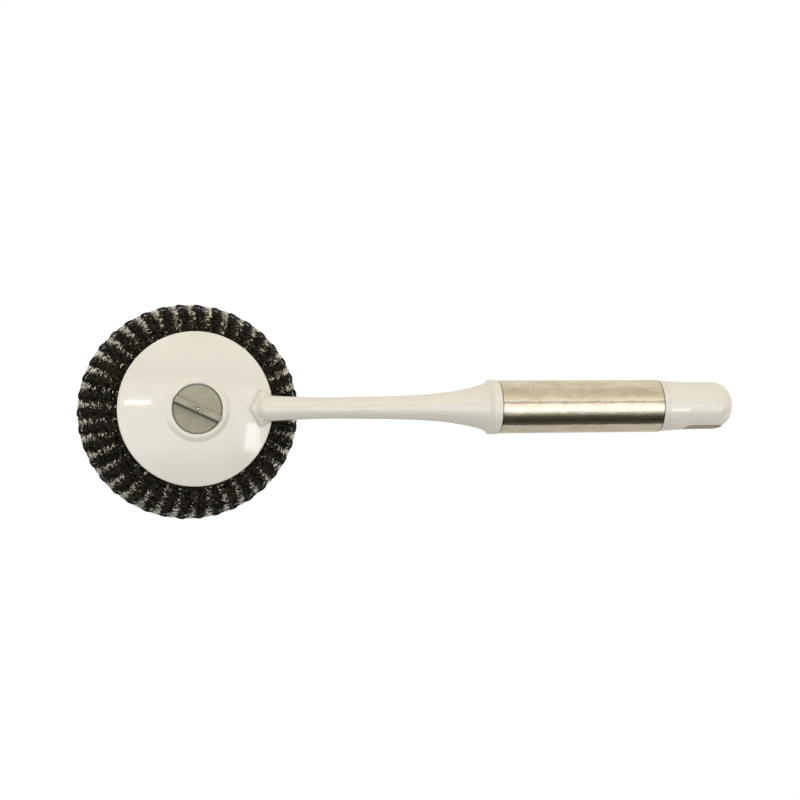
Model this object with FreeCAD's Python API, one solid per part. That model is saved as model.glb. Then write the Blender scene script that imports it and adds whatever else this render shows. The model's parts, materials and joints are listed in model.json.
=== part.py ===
"""Wire scourer brush: a domed head with a turn-knob, a knitted wire scourer and a steel-sleeved handle.

Millimetres. The brush lies at rest on the scourer's rim and on the end cap. The origin is on the
surface it lies on, under the middle of its outline, with +X towards the hanging end and +Z up.

Two working frames are used. The head frame has its origin in the middle of the disc's lower face, +Z
out through the knob and +X towards the handle. The handle frame starts on the handle's centre line
where the arm leaves the disc, with +X along the handle. Everything is built in one of the two and
placed at the end.
"""
import FreeCAD
import Part
import math
import os

from FreeCAD import Vector

# ---- Driving dimensions ----------------------------------------------------------------------------

# Disc of the head
disc_radius = 30.0
disc_edge = 1.5             # height of the disc's upright edge
disc_rise = 4.8             # height of the dome above that edge
disc_wall = 2.0
disc_edge_round = 0.7
lip_width = 3.2             # soft raised lip around the knob
lip_height = 0.8

# Knob and what turns with it
knob_radius = 9.4
knob_thickness = 2.0
knob_chamfer = 0.4
knob_travel = 90.0          # degrees from locked to open
rib_angle = -25.0           # direction of the finger rib when locked
rib_width = 2.5
rib_height = 2.4
rib_round = 0.5
rib_recess_length = 4.6
rib_recess_width = 1.5
rib_recess_depth = 0.7
shank_radius = 4.0
key_side = 5.4              # square end of the shank that drives the cam
spindle_radius = 0.6
spindle_head_radius = 0.7
seal_thickness = 1.0
seal_band = 3.6
hub_wall = 1.9              # disc material between the knob's seat and the wave washer
hub_rim = 3.15              # hub outside the knob's seat
wave_washer_thickness = 0.5
wave_washer_band = 2.6
cam_web = 0.9               # between the key's corners and the slots
cam_rim = 1.85              # outside the slots
cam_thickness = 2.0
clip_thickness = 0.6
clip_radius = 2.9

# Claws
claw_count = 3
claw_pin_radius = 1.0
claw_travel = 4.0
claw_tail_gap = 0.6         # between an open claw and the clip
claw_reach = 8.6            # slider ahead of its pin
claw_width = 7.0
claw_thickness = 1.9
claw_leg_width = 5.0
claw_leg_thickness = 1.6
claw_depth = 12.5           # length of a leg below its slider
barb_length = 2.6
barb_height = 1.8
barb_pitch = 5.5

# Carrier that guides the claws
carrier_wall = 2.4          # outside the locked claws
cover_thickness = 1.6
cover_screw_radius = 1.1
cover_screw_head_radius = 2.0
cover_screw_head_height = 1.5
cover_screw_bite = 2.6      # thread length inside the disc's bosses
boss_radius = 2.9

# Scourer
scourer_radius = 43.5
scourer_band = 21.1         # half the width of the ring's section
scourer_half_height = 20.2
scourer_squash = 1.0        # how far the rim flattens on the surface below
scourer_bore_gap = 1.2      # around the claws' tips
scourer_floor_gap = 2.9     # under the claws' tips
scourer_core_radius = 13.0
scourer_core_dimple = 4.5   # how far the middle stands back from the ring's lowest point

# Arm and neck, moulded in one with the disc
arm_overlap = 2.0           # how far inside the disc's edge the handle frame starts
arm_height = 5.4
arm_pitch = 4.6             # degrees between the handle and the disc
arm_root_radius = 5.1
arm_waist = 24.0            # where the arm is slimmest
arm_waist_radius = 4.2
arm_draft = 0.8             # even widening from the waist to the end of the flare
flare_length = 60.2
flare_power = 4.5
neck_lip_height = 2.0
neck_lip_length = 2.7       # quick outward turn at the end of the flare
neck_rim_length = 0.4
foot_length = 9.3
foot_tip_width = 1.6
foot_knee = 5.1             # where the foot is widest, behind the disc's edge
foot_knee_width = 7.4       # half of the foot's width there
foot_knee_height = 4.6
foot_sink = 0.9
spigot_radius = 6.0
spigot_length = 18.0

# Handle
collar_step = 0.3           # how far the front collar stands proud of the sleeve
front_collar_length = 3.5
sleeve_radius = 10.6
sleeve_wall = 0.5
sleeve_length = 66.9
rear_collar_step = 0.25     # how much slimmer the rear collar is than the sleeve
rear_collar_length = 2.4
core_web = 3.0              # wall in the core that the neck screw pulls against
core_wall = 2.75
neck_screw_radius = 2.0
neck_screw_head_radius = 3.8
neck_screw_head_height = 2.6
neck_screw_length = 15.0
neck_washer_radius = 5.2
neck_washer_thickness = 1.0

# End cap
cap_step = 0.4              # how much slimmer the cap's root is than the sleeve
cap_length = 28.9
cap_root_length = 8.5
cap_taper = 0.5             # how much the cap narrows over its root
cap_end_round = 8.0
cap_plug_length = 14.0
cap_wall = 1.8
cap_slot_length = 16.6
cap_slot_height = 7.0
cap_slot_roll = 14.0        # degrees that the slot is turned about the handle
cap_slot_margin = 7.9       # solid length before the slot
seal_section = 1.3

# Clearances
running_fit = 0.08          # radial, between a shaft and its bore
knob_gap = 0.25
slide_gap = 0.15            # each side of a slider or a pin in its slot
seat_gap = 0.1              # radial, between fixed pieces that nest
hook_gap = 0.3              # between soft or moving pieces and their neighbours
x_axis = Vector(1, 0, 0)
y_axis = Vector(0, 1, 0)
z_axis = Vector(0, 0, 1)

# ---- Levels in the head frame, worked out from the sizes above ----------------------------------------

disc_crown = disc_edge + disc_rise
dome_sphere = (disc_radius ** 2 + disc_rise ** 2) / (2 * disc_rise)
dome_centre = disc_crown - dome_sphere
knob_face = disc_crown - 0.3
knob_back = knob_face - knob_thickness
seal_bottom = knob_back - seal_thickness
hub_bottom = seal_bottom - hub_wall
cam_top = hub_bottom - wave_washer_thickness
cam_bottom = cam_top - cam_thickness
channel_top = cam_bottom - slide_gap
claw_top = channel_top - slide_gap
claw_bottom = claw_top - claw_thickness
cover_top = claw_bottom - slide_gap
cover_bottom = cover_top - cover_thickness
counterbore_radius = knob_radius + knob_gap
hub_radius = counterbore_radius + hub_rim
claw_open_orbit = math.sqrt(2) * (key_side / 2 + seat_gap) + cam_web + claw_pin_radius + slide_gap
claw_pin_orbit = claw_open_orbit + claw_travel
claw_tail = claw_open_orbit - clip_radius - claw_tail_gap
claw_end = claw_pin_orbit + claw_reach
cam_radius = claw_pin_orbit + claw_pin_radius + slide_gap + cam_rim
carrier_radius = claw_end + carrier_wall
cover_screw_orbit = (cam_radius + carrier_radius) / 2
scourer_bore = claw_end + barb_length + scourer_bore_gap
scourer_bore_level = claw_bottom - claw_depth - scourer_floor_gap
section_orbit = scourer_radius - scourer_band
section_level = -hook_gap - scourer_half_height
arm_start = disc_radius - arm_overlap
flare_end = arm_waist + flare_length
arm_length = flare_end + neck_lip_length + neck_rim_length
collar_radius = sleeve_radius + collar_step
flare_radius = collar_radius - neck_lip_height
rear_collar_radius = sleeve_radius - rear_collar_step
cap_radius = sleeve_radius - cap_step
collar_end = arm_length + front_collar_length
sleeve_end = collar_end + sleeve_length
rear_end = sleeve_end + rear_collar_length
cap_end = rear_end + cap_length
core_outer = sleeve_radius - sleeve_wall - seat_gap
core_rear_bore = core_outer - core_wall
web_start = arm_length + spigot_length + seat_gap
web_end = web_start + core_web


# ---- Helpers ------------------------------------------------------------------------------------------

def cylinder(radius, bottom, top, x=0.0, y=0.0):
    """Upright cylinder between two levels."""
    return Part.makeCylinder(radius, top - bottom, Vector(x, y, bottom), z_axis)


def tube(outer, inner, bottom, top):
    """Upright tube between two levels."""
    return cylinder(outer, bottom, top).cut(cylinder(inner, bottom - 1, top + 1))


def rod(radius, start, end):
    """Cylinder along the handle's centre line."""
    return Part.makeCylinder(radius, end - start, Vector(start, 0, 0), x_axis)


def pipe(outer, inner, start, end):
    """Tube along the handle's centre line."""
    return rod(outer, start, end).cut(rod(inner, start - 1, end + 1))


def turned(shape, angle):
    """Copy of a shape turned about the knob axis."""
    copy = shape.copy()
    copy.rotate(Vector(0, 0, 0), z_axis, angle)
    return copy


def ring_angles(count, first=0.0):
    """Even angles around the knob axis, in degrees."""
    return [first + 360.0 / count * i for i in range(count)]


def dome_level(radius, depth=0.0):
    """Height of the dome at a distance from the knob axis, or of the surface a wall below it."""
    return dome_centre + math.sqrt((dome_sphere - depth) ** 2 - radius ** 2)


def revolve_edges(edges, axis=z_axis):
    """Solid turned from a closed outline in the XZ plane."""
    face = Part.Face(Part.Wire(edges))
    return face.revolve(Vector(0, 0, 0), axis, 360)


def at(radius, level):
    """Point of an outline in the XZ plane."""
    return Vector(radius, 0, level)


def line(first, second):
    return Part.makeLine(first, second)


def arc(first, middle, last):
    return Part.Arc(first, middle, last).toShape()


# ---- Where the frames stand -----------------------------------------------------------------------------

def handle_to_head():
    """Placement of the handle frame in the head frame."""
    turn = FreeCAD.Rotation(y_axis, -arm_pitch)
    return FreeCAD.Placement(Vector(arm_start, 0, arm_height), turn)


def lean_of_head():
    """Angle by which the head leans so that scourer and end cap both touch the surface below."""
    corner = handle_to_head().multVec(Vector(cap_end - cap_end_round, 0, cap_end_round - cap_corner_radius()))

    def gap(lean):
        s, c = math.sin(lean), math.cos(lean)
        reach = math.hypot(scourer_band * s, scourer_half_height * c)
        scourer_low = -section_orbit * s + section_level * c - reach + scourer_squash
        cap_low = -corner.x * s + corner.z * c - cap_end_round
        return cap_low - scourer_low

    low, high = 0.0, math.radians(60)
    for _ in range(60):
        middle = (low + high) / 2
        low, high = (middle, high) if gap(middle) > 0 else (low, middle)
    return low


def cap_corner_radius():
    """Radius of the cap just before its rounded end."""
    return cap_radius - cap_taper


def head_to_world():
    """Placement of the head frame in the frame of the lying brush."""
    lean = lean_of_head()
    s, c = math.sin(lean), math.cos(lean)
    reach = math.hypot(scourer_band * s, scourer_half_height * c)
    floor = -section_orbit * s + section_level * c - reach + scourer_squash
    side = math.hypot(scourer_band * c, scourer_half_height * s)
    left = -section_orbit * c + section_level * s - side
    turn = FreeCAD.Rotation(y_axis, math.degrees(lean))
    cap_tip = turn.multVec(handle_to_head().multVec(Vector(cap_end, 0, 0)))
    flat_edge = cap_corner_radius() - cap_end_round
    right = cap_tip.x + flat_edge * math.sin(lean - math.radians(arm_pitch))
    return FreeCAD.Placement(Vector(-(left + right) / 2, 0, -floor), turn)


# ---- Head: the disc and the neck ---------------------------------------------------------------------

def disc():
    """Domed disc with the knob's seat, its lip and the hub below."""
    lip_outer = counterbore_radius + lip_width
    lip_top = disc_crown + lip_height - 0.55
    edge_top = dome_level(disc_radius - disc_edge_round)
    lip = Part.BSplineCurve()
    lip.interpolate([
        at(counterbore_radius, knob_face - 0.3),
        at(counterbore_radius + 0.25, lip_top - 0.15),
        at(counterbore_radius + 0.8, lip_top),
        at(counterbore_radius + 1.6, lip_top - 0.22),
        at(lip_outer, dome_level(lip_outer)),
    ])
    middle = (lip_outer + disc_radius) / 2
    inner = disc_radius - disc_wall
    inner_top = max(0.05, dome_level(inner, disc_wall))
    half = (inner + hub_radius) / 2
    edges = [
        lip.toShape(),
        arc(at(lip_outer, dome_level(lip_outer)), at(middle, dome_level(middle)),
            at(disc_radius - disc_edge_round, edge_top)),
        arc(at(disc_radius - disc_edge_round, edge_top),
            at(disc_radius - 0.25 * disc_edge_round, edge_top - 0.4 * disc_edge_round),
            at(disc_radius, edge_top - disc_edge_round)),
        line(at(disc_radius, edge_top - disc_edge_round), at(disc_radius, 0)),
        line(at(disc_radius, 0), at(inner, 0)),
        line(at(inner, 0), at(inner, inner_top)),
        arc(at(inner, inner_top), at(half, dome_level(half, disc_wall)),
            at(hub_radius, dome_level(hub_radius, disc_wall))),
        line(at(hub_radius, dome_level(hub_radius, disc_wall)), at(hub_radius, hub_bottom)),
        line(at(hub_radius, hub_bottom), at(shank_radius + running_fit, hub_bottom)),
        line(at(shank_radius + running_fit, hub_bottom), at(shank_radius + running_fit, seal_bottom)),
        line(at(shank_radius + running_fit, seal_bottom), at(counterbore_radius, seal_bottom)),
        line(at(counterbore_radius, seal_bottom), at(counterbore_radius, knob_face - 0.3)),
    ]
    body = revolve_edges(edges)
    for angle in cover_screw_angles():
        body = body.fuse(turned(screw_boss(), angle))
    for angle in cover_screw_angles():
        pilot = cylinder(cover_screw_radius, hub_bottom - 1, screw_tip(), cover_screw_orbit)
        body = body.cut(turned(pilot, angle))
    return body


def cover_screw_angles():
    """The screws stand midway between the claws."""
    return ring_angles(claw_count, 180.0 / claw_count)


def screw_tip():
    return hub_bottom + cover_screw_bite


def screw_boss():
    """Boss under the dome that a cover screw bites into."""
    return cylinder(boss_radius, hub_bottom, dome_level(cover_screw_orbit, disc_wall / 2), cover_screw_orbit)


def foot_section(station, half_width, height):
    """Section of the arm's foot: half an ellipse above a base that is sunk in the dome."""
    level = dome_level(station)
    steps = 8
    bow = Part.BSplineCurve()
    bow.interpolate([
        Vector(station, -half_width * math.cos(math.pi * i / steps),
               level - 0.1 + (height + 0.1) * math.sin(math.pi * i / steps))
        for i in range(steps + 1)
    ])
    corners = [
        Vector(station, half_width, level - 0.1),
        Vector(station, half_width, level - foot_sink),
        Vector(station, -half_width, level - foot_sink),
        Vector(station, -half_width, level - 0.1),
    ]
    sides = [line(first, second) for first, second in zip(corners, corners[1:])]
    return Part.Wire([bow.toShape()] + sides)


def arm_foot():
    """Wedge by which the arm grows out of the dome: a narrow tip, a wide knee and a slim end at the edge."""
    tip = foot_section(disc_radius - foot_length, foot_tip_width / 2, 0.2 * foot_knee_height)
    knee = foot_section(disc_radius - foot_knee, foot_knee_width, foot_knee_height)
    end = foot_section(disc_radius, arm_root_radius, foot_knee_height)
    return Part.makeLoft([tip, knee, end], True, True)


def arm_outline(station):
    """Radius of the arm: narrowing from its root to the waist, then widening ever faster to the neck."""
    if station < arm_waist:
        share = (arm_waist - station) / arm_waist
        return arm_waist_radius + (arm_root_radius - arm_waist_radius) * share ** 2
    share = (station - arm_waist) / flare_length
    flare = flare_radius - arm_waist_radius - arm_draft
    return arm_waist_radius + arm_draft * share + flare * share ** flare_power


def arm_and_neck():
    """Arm, trumpet neck and spigot, in the handle frame."""
    outline = Part.BSplineCurve()
    steps = 14
    stations = [flare_end * i / steps for i in range(steps + 1)]
    outline.interpolate([at(station, arm_outline(station)) for station in stations])
    lip_end = flare_end + neck_lip_length
    flat = 0.5 * (collar_radius - flare_radius)
    nose = at(-arm_root_radius, 0)
    edges = [
        arc(nose, nose * math.sqrt(0.5) + at(0, arm_root_radius * math.sqrt(0.5)), at(0, arm_root_radius)),
        outline.toShape(),
        arc(at(flare_end, flare_radius), at(flare_end + 0.6 * neck_lip_length, flare_radius + 0.8 * flat),
            at(lip_end, collar_radius)),
        line(at(lip_end, collar_radius), at(arm_length, collar_radius)),
        line(at(arm_length, collar_radius), at(arm_length, spigot_radius)),
        line(at(arm_length, spigot_radius), at(arm_length + spigot_length, spigot_radius)),
        line(at(arm_length + spigot_length, spigot_radius), at(arm_length + spigot_length, 0)),
        line(at(arm_length + spigot_length, 0), nose),
    ]
    body = revolve_edges(edges, x_axis)
    pilot = rod(neck_screw_radius, web_end + neck_washer_thickness - neck_screw_length - 1,
                arm_length + spigot_length + 1)
    return body.cut(pilot)


def head_disc():
    """Disc, arm and neck in one moulding, in the head frame."""
    arm = arm_and_neck()
    arm.Placement = handle_to_head()
    body = disc().fuse([arm, arm_foot()])
    below = cylinder(disc_radius + 5, -40, 0)
    return body.cut(below).removeSplitter()


# ---- Head: knob, cam and claws --------------------------------------------------------------------------

def turn_knob():
    """Knob with its finger rib, round shank and square key."""
    flange = cylinder(knob_radius, knob_back, knob_face)
    rims = [e for e in flange.Edges if abs(e.BoundBox.ZMin - knob_face) < 1e-6 and e.BoundBox.ZLength < 1e-6]
    flange = flange.makeChamfer(knob_chamfer, rims)
    rib_length = 2 * (counterbore_radius - slide_gap)
    rib = Part.makeBox(rib_length, rib_width, rib_height + 0.5,
                       Vector(-rib_length / 2, -rib_width / 2, knob_face - 0.5))
    top = knob_face + rib_height
    crests = [e for e in rib.Edges if e.BoundBox.ZMin > top - 1e-6]
    rib = rib.makeFillet(rib_round, crests).common(cylinder(rib_length / 2, knob_back, top + 1))
    recess = Part.makeBox(rib_recess_length - rib_recess_width, rib_recess_width, rib_recess_depth + 1,
                          Vector(-(rib_recess_length - rib_recess_width) / 2, -rib_recess_width / 2,
                                 top - rib_recess_depth))
    for side in (-1, 1):
        x = side * (rib_recess_length - rib_recess_width) / 2
        recess = recess.fuse(cylinder(rib_recess_width / 2, top - rib_recess_depth, top + 1, x))
    shank = cylinder(shank_radius, hub_bottom, knob_back + 0.5)
    key = Part.makeBox(key_side, key_side, hub_bottom - cam_bottom + 0.5,
                       Vector(-key_side / 2, -key_side / 2, cam_bottom))
    bore = cylinder(spindle_radius, cam_bottom - 1, top + 1)
    knob = flange.fuse([rib, shank, key]).cut(recess).cut(bore)
    return turned(knob.removeSplitter(), rib_angle)


def spindle():
    """Steel spindle through the knob, with its rounded head in the rib's recess."""
    seat = knob_face + rib_height - rib_recess_depth
    clip_bottom = cam_bottom - clip_thickness
    pin = cylinder(spindle_radius, clip_bottom, seat + 0.2)
    head = Part.makeSphere(spindle_head_radius, Vector(0, 0, seat)).common(
        cylinder(spindle_head_radius + 1, seat, seat + spindle_head_radius))
    return pin.fuse(head).removeSplitter()


def knob_seal():
    """Rubber ring under the knob's flange."""
    inner = shank_radius + seat_gap
    return tube(inner + seal_band, inner, seal_bottom, knob_back)


def wave_washer():
    """Spring ring between hub and cam, which gives the knob its drag."""
    inner = shank_radius + seat_gap
    return tube(inner + wave_washer_band, inner, cam_top, hub_bottom)


def spiral_slot(first_angle):
    """Cutter for one cam slot: its centre moves in evenly as the cam turns."""
    half = claw_pin_radius + slide_gap
    overrun = 3.0
    steps = 14

    def centre(i):
        turn = -overrun + (knob_travel + 2 * overrun) * i / steps
        radius = claw_pin_orbit - claw_travel * turn / knob_travel
        angle = math.radians(first_angle - turn)
        return Vector(radius * math.cos(angle), radius * math.sin(angle), 0)

    points = [centre(i) for i in range(steps + 1)]
    inner, outer = [], []
    for i, point in enumerate(points):
        ahead = points[min(i + 1, steps)] - points[max(i - 1, 0)]
        side = Vector(-ahead.y, ahead.x, 0).normalize() * half
        outer.append(point + side)
        inner.append(point - side)
    edges = []
    for rail in (outer, inner):
        curve = Part.BSplineCurve()
        curve.interpolate(rail)
        edges.append(curve.toShape())
    edges.insert(1, line(outer[-1], inner[-1]))
    edges.append(line(inner[0], outer[0]))
    face = Part.Face(Part.Wire(Part.__sortEdges__(edges)))
    slot = face.extrude(Vector(0, 0, cam_thickness + 2))
    slot.translate(Vector(0, 0, cam_bottom - 1))
    for point in (points[0], points[-1]):
        slot = slot.fuse(cylinder(half, cam_bottom - 1, cam_top + 1, point.x, point.y))
    return slot


def scroll_cam():
    """Plate with one spiral slot for each claw, keyed to the knob's shank."""
    plate = cylinder(cam_radius, cam_bottom, cam_top)
    key = Part.makeBox(key_side + 2 * seat_gap, key_side + 2 * seat_gap, cam_thickness + 2,
                       Vector(-key_side / 2 - seat_gap, -key_side / 2 - seat_gap, cam_bottom - 1))
    plate = plate.cut(turned(key, rib_angle))
    for angle in ring_angles(claw_count):
        plate = plate.cut(spiral_slot(angle))
    return plate


def retaining_clip():
    """Ring pressed on the spindle's lower end, which holds the cam up on the knob."""
    return tube(clip_radius, spindle_radius, cam_bottom - clip_thickness, cam_bottom)


def claw(angle):
    """Slider with a drive pin above and a barbed leg below, in its locked place."""
    start = claw_pin_orbit - claw_tail
    foot = claw_bottom - claw_depth
    slider = Part.makeBox(claw_end - start, claw_width, claw_thickness,
                          Vector(start, -claw_width / 2, claw_bottom))
    pin = cylinder(claw_pin_radius, claw_top - 0.3, cam_top - 0.2, claw_pin_orbit)
    leg = Part.makeBox(claw_leg_thickness, claw_leg_width, claw_depth + 0.5,
                       Vector(claw_end - claw_leg_thickness, -claw_leg_width / 2, foot))
    pieces = [pin, leg]
    for level in (foot, foot + barb_pitch):
        pieces.append(barb(level))
    return turned(slider.fuse(pieces).removeSplitter(), angle)


def barb(level):
    """Hook on the outside of a claw's leg, flat above and slanted below."""
    side = -claw_leg_width / 2
    root = claw_end - 0.5
    corners = [
        Vector(root, side, level),
        Vector(claw_end, side, level),
        Vector(claw_end + barb_length, side, level + barb_height),
        Vector(root, side, level + barb_height),
        Vector(root, side, level),
    ]
    return Part.Face(Part.makePolygon(corners)).extrude(Vector(0, claw_leg_width, 0))


def claw_carrier():
    """Housing that holds the cam and guides the claws, screwed up against the hub."""
    body = cylinder(carrier_radius, cover_top, hub_bottom)
    body = body.cut(cylinder(cam_radius + hook_gap, channel_top, hub_bottom + 1))
    reach = claw_end + slide_gap
    for angle in ring_angles(claw_count):
        width = claw_width + 2 * slide_gap
        channel = Part.makeBox(reach, width, channel_top - cover_top + 1,
                               Vector(0, -width / 2, cover_top - 0.5))
        channel = channel.common(cylinder(carrier_radius + 1, cover_top - 1, channel_top))
        body = body.cut(turned(channel, angle))
    body = body.cut(cylinder(clip_radius + hook_gap, cover_top - 1, channel_top + 1))
    for angle in cover_screw_angles():
        hole = cylinder(cover_screw_radius + seat_gap, cover_top - 1, hub_bottom + 1, cover_screw_orbit)
        body = body.cut(turned(hole, angle))
    return body


def bottom_cover():
    """Cover under the claw guides, with a slot for each claw's leg."""
    body = cylinder(carrier_radius, cover_bottom, cover_top)
    leg_inner = claw_end - claw_leg_thickness - claw_travel
    width = claw_leg_width + 2 * hook_gap
    for angle in ring_angles(claw_count):
        slot = Part.makeBox(claw_end - leg_inner + 2 * slide_gap, width, cover_thickness + 2,
                            Vector(leg_inner - slide_gap, -width / 2, cover_bottom - 1))
        body = body.cut(turned(slot, angle))
    for angle in cover_screw_angles():
        hole = cylinder(cover_screw_radius + seat_gap, cover_bottom - 1, cover_top + 1, cover_screw_orbit)
        body = body.cut(turned(hole, angle))
    return body


def cover_screws():
    """Three equal screws with domed heads and a cross recess."""
    head_bottom = cover_bottom - cover_screw_head_height
    shaft = cylinder(cover_screw_radius, cover_bottom - 0.3, screw_tip(), cover_screw_orbit)
    head = cylinder(cover_screw_head_radius, head_bottom, cover_bottom, cover_screw_orbit)
    low = [e for e in head.Edges if e.BoundBox.ZMax < head_bottom + 1e-6]
    head = head.makeFillet(0.6 * cover_screw_head_height, low)
    screw = shaft.fuse(head)
    for length, width in ((2.8, 0.7), (0.7, 2.8)):
        recess = Part.makeBox(length, width, 1.0,
                              Vector(cover_screw_orbit - length / 2, -width / 2, head_bottom - 0.1))
        screw = screw.cut(recess)
    return Part.makeCompound([turned(screw, angle) for angle in cover_screw_angles()])


# ---- Head: the scourer -------------------------------------------------------------------------------

def wire_scourer():
    """Outer form of the knitted wire ring, flat where it rests, with the recess for the claws."""
    halves = sorted((scourer_half_height, scourer_band))
    section = Part.Wire([Part.Ellipse(Vector(0, 0, 0), halves[1], halves[0]).toShape()])
    if scourer_half_height > scourer_band:
        section.rotate(Vector(0, 0, 0), z_axis, 90)
    section.rotate(Vector(0, 0, 0), x_axis, 90)
    section.translate(at(section_orbit, section_level))
    donut = Part.Face(section).revolve(Vector(0, 0, 0), z_axis, 360)
    lowest = section_level - scourer_half_height
    core = cylinder(scourer_core_radius, lowest + scourer_core_dimple, section_level)
    recess = cylinder(scourer_bore, scourer_bore_level, 1)
    body = donut.fuse(core).cut(recess)
    place = head_to_world()
    under = Part.makeBox(400, 400, 40, Vector(-200, -200, -40))
    under.Placement = place.inverse().multiply(under.Placement)
    return body.cut(under).removeSplitter()


# ---- Handle --------------------------------------------------------------------------------------------

def rounded_ring(outer, inner, start, end, rounding):
    """Collar with softened outer edges."""
    ring = pipe(outer, inner, start, end)
    rims = [e for e in ring.Edges if e.BoundBox.XLength < 1e-6 and e.BoundBox.ZMax > outer - 1e-3]
    return ring.makeFillet(rounding, rims)


def front_collar():
    return rounded_ring(collar_radius, spigot_radius + seat_gap, arm_length, collar_end, 0.35)


def steel_sleeve():
    return pipe(sleeve_radius, sleeve_radius - sleeve_wall, collar_end, sleeve_end)


def handle_core():
    """Plastic tube inside the sleeve, with a web that the neck screw pulls against."""
    body = rod(core_outer, collar_end, sleeve_end)
    body = body.cut(rod(spigot_radius + seat_gap, collar_end - 1, web_start))
    body = body.cut(rod(neck_screw_radius + seat_gap, web_start - 1, web_end + 1))
    return body.cut(rod(core_rear_bore, web_end, sleeve_end + 1))


def neck_washer():
    return pipe(neck_washer_radius, neck_screw_radius + seat_gap, web_end, web_end + neck_washer_thickness)


def neck_screw():
    """Screw through the core's web into the neck's spigot."""
    seat = web_end + neck_washer_thickness
    head = rod(neck_screw_head_radius, seat, seat + neck_screw_head_height)
    far = [e for e in head.Edges if e.BoundBox.XMin > seat + neck_screw_head_height - 1e-6]
    head = head.makeFillet(0.5 * neck_screw_head_height, far)
    shaft = rod(neck_screw_radius, seat - neck_screw_length, seat + 0.5)
    screw = shaft.fuse(head)
    for height, width in ((4.2, 1.0), (1.0, 4.2)):
        recess = Part.makeBox(2, width, height,
                              Vector(seat + neck_screw_head_height - 1.4, -width / 2, -height / 2))
        screw = screw.cut(recess)
    return screw.removeSplitter()


def rear_collar():
    return rounded_ring(rear_collar_radius, core_rear_bore, sleeve_end, rear_end, 0.35)


def end_cap():
    """Cap with a rounded end, a hanging slot and a plug in the core's bore."""
    corner = cap_corner_radius()
    root_end = rear_end + cap_root_length
    shoulder = cap_end - cap_end_round
    flat = corner - cap_end_round
    diagonal = cap_end_round * math.sqrt(0.5)
    plug = core_rear_bore - seat_gap
    bore = plug - cap_wall
    plug_start = rear_end - cap_plug_length
    edges = [
        line(at(rear_end, cap_radius), at(root_end, corner)),
        line(at(root_end, corner), at(shoulder, corner)),
        arc(at(shoulder, corner), at(shoulder + diagonal, flat + diagonal), at(cap_end, flat)),
        line(at(cap_end, flat), at(cap_end, 0)),
        line(at(cap_end, 0), at(rear_end, 0)),
        line(at(rear_end, 0), at(rear_end, bore)),
        line(at(rear_end, bore), at(plug_start, bore)),
        line(at(plug_start, bore), at(plug_start, plug)),
        line(at(plug_start, plug), at(rear_end, plug)),
        line(at(rear_end, plug), at(rear_end, cap_radius)),
    ]
    body = revolve_edges(edges, x_axis)
    groove = pipe(plug + 1, plug - seal_section + 0.2, seal_start(), seal_start() + seal_section + 0.2)
    return body.cut(groove).cut(hanging_slot())


def seal_start():
    """Where the groove for the cap's rubber ring starts."""
    return rear_end - cap_plug_length + 4.0


def hanging_slot():
    """Cutter for the slot through the cap: round-ended, and turned a little about the handle."""
    half = cap_slot_height / 2
    first = rear_end + cap_slot_margin + half
    last = first + cap_slot_length - cap_slot_height
    deep = cap_radius + 5
    slot = Part.makeBox(last - first, 2 * deep, cap_slot_height, Vector(first, -deep, -half))
    for station in (first, last):
        slot = slot.fuse(Part.makeCylinder(half, 2 * deep, Vector(station, -deep, 0), y_axis))
    slot.rotate(Vector(0, 0, 0), x_axis, -cap_slot_roll)
    return slot


def cap_seal():
    """Rubber ring in the groove of the cap's plug."""
    inner = core_rear_bore - seat_gap - seal_section + 0.2
    start = seal_start() + 0.1
    return pipe(core_rear_bore, inner, start, start + seal_section)


# ---- Build ------------------------------------------------------------------------------------------------

head_pieces = {
    "head_disc": head_disc,
    "turn_knob": turn_knob,
    "spindle": spindle,
    "knob_seal": knob_seal,
    "wave_washer": wave_washer,
    "scroll_cam": scroll_cam,
    "retaining_clip": retaining_clip,
    "claw_carrier": claw_carrier,
    "bottom_cover": bottom_cover,
    "cover_screws": cover_screws,
    "wire_scourer": wire_scourer,
}
handle_pieces = {
    "front_collar": front_collar,
    "steel_sleeve": steel_sleeve,
    "handle_core": handle_core,
    "neck_washer": neck_washer,
    "neck_screw": neck_screw,
    "rear_collar": rear_collar,
    "end_cap": end_cap,
    "cap_seal": cap_seal,
}


def build():
    """Every piece by name, placed in the frame of the lying brush."""
    world = head_to_world()
    handle = world.multiply(handle_to_head())
    placed = {}
    shapes = {name: (world, make()) for name, make in head_pieces.items()}
    for number, angle in enumerate(ring_angles(claw_count), start=1):
        shapes[f"claw_{number}"] = (world, claw(angle))
    shapes.update({name: (handle, make()) for name, make in handle_pieces.items()})
    for name, (place, shape) in shapes.items():
        shape.Placement = place.multiply(shape.Placement)
        placed[name] = shape
    return placed


def main():
    os.makedirs("parts", exist_ok=True)
    for name, shape in build().items():
        assert shape.isValid() and shape.Volume > 0, name
        shape.exportStep(f"parts/{name}.step")
        print(f"{name:16s} {len(shape.Solids)} solid(s)  {shape.Volume:10.1f} mm3")
    print(f"lean {math.degrees(lean_of_head()):.3f} degrees")


main()
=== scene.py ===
"""Looks of the wire scourer brush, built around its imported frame.

The brush lies on a white table: a ring of knitted steel wire under a domed ivory disc with a grey
turn-knob, a slim arm that widens to a neck, a steel-sleeved handle and an end cap with a slot. All
lengths are metres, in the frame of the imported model.
"""
import json
import logging
import math
from dataclasses import dataclass, field
from enum import Enum

import bmesh
import bpy
import numpy as np
from mathutils import Matrix, Vector, noise


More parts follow.
